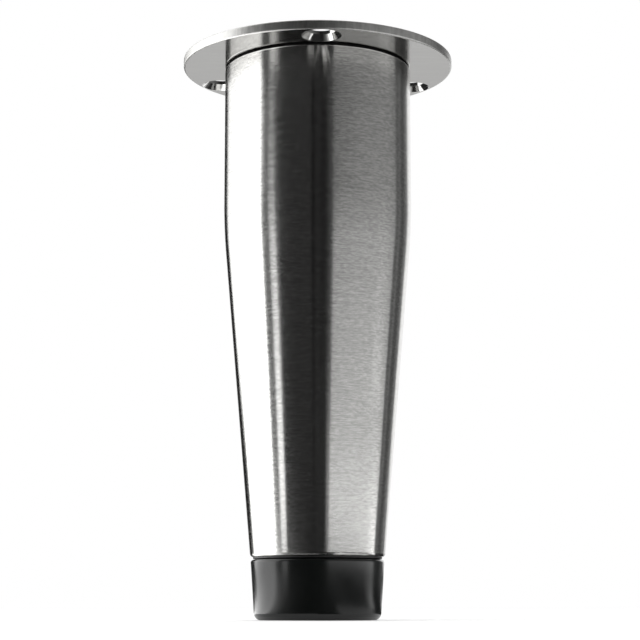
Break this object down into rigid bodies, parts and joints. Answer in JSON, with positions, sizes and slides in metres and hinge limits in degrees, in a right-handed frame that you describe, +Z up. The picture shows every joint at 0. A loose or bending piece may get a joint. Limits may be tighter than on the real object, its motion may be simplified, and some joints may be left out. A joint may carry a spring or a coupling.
{
  "type": "furniture leg",
  "caption": "Tapered tubular steel furniture leg with a round screw-on mounting plate at the top and a black levelling foot below.",
  "frame": {"origin": "centre of the foot's sole, on the floor, with the foot screwed right in", "axes": "+Z up along the leg's axis to the mounting plate; one screw hole of the plate lies towards -Y"},
  "size_m": [0.0775, 0.0774, 0.16],
  "materials": {
    "plate_steel": "satin brushed steel, bright in the countersinks",
    "tube_steel": "brushed round the tube",
    "fastener_steel": "zinc plated",
    "insert_plastic": "moulded black plastic",
    "foot_plastic": "moulded black plastic, satin"
  },
  "bodies": {
    "leg": {"mounting_plate": "plate_steel", "leg_tube": "tube_steel", "tube_insert": "insert_plastic", "captive_nut": "fastener_steel"},
    "stud": {"levelling_stud": "fastener_steel"},
    "foot": {"foot": "foot_plastic"}
  },
  "joints": [
    {"name": "levelling_travel", "type": "slide", "parent": "leg", "child": "stud", "axis": [0, 0, -1], "range_m": [0, 0.01]},
    {"name": "foot_turn", "type": "hinge", "parent": "stud", "child": "foot", "pos_m": [0, 0, 0], "axis": [0, 0, -1], "range_deg": [0, 2400]}
  ],
  "couplings": [
    {"joint": "levelling_travel", "follows": "foot_turn", "m_per_rad": 0.00023873}
  ]
}
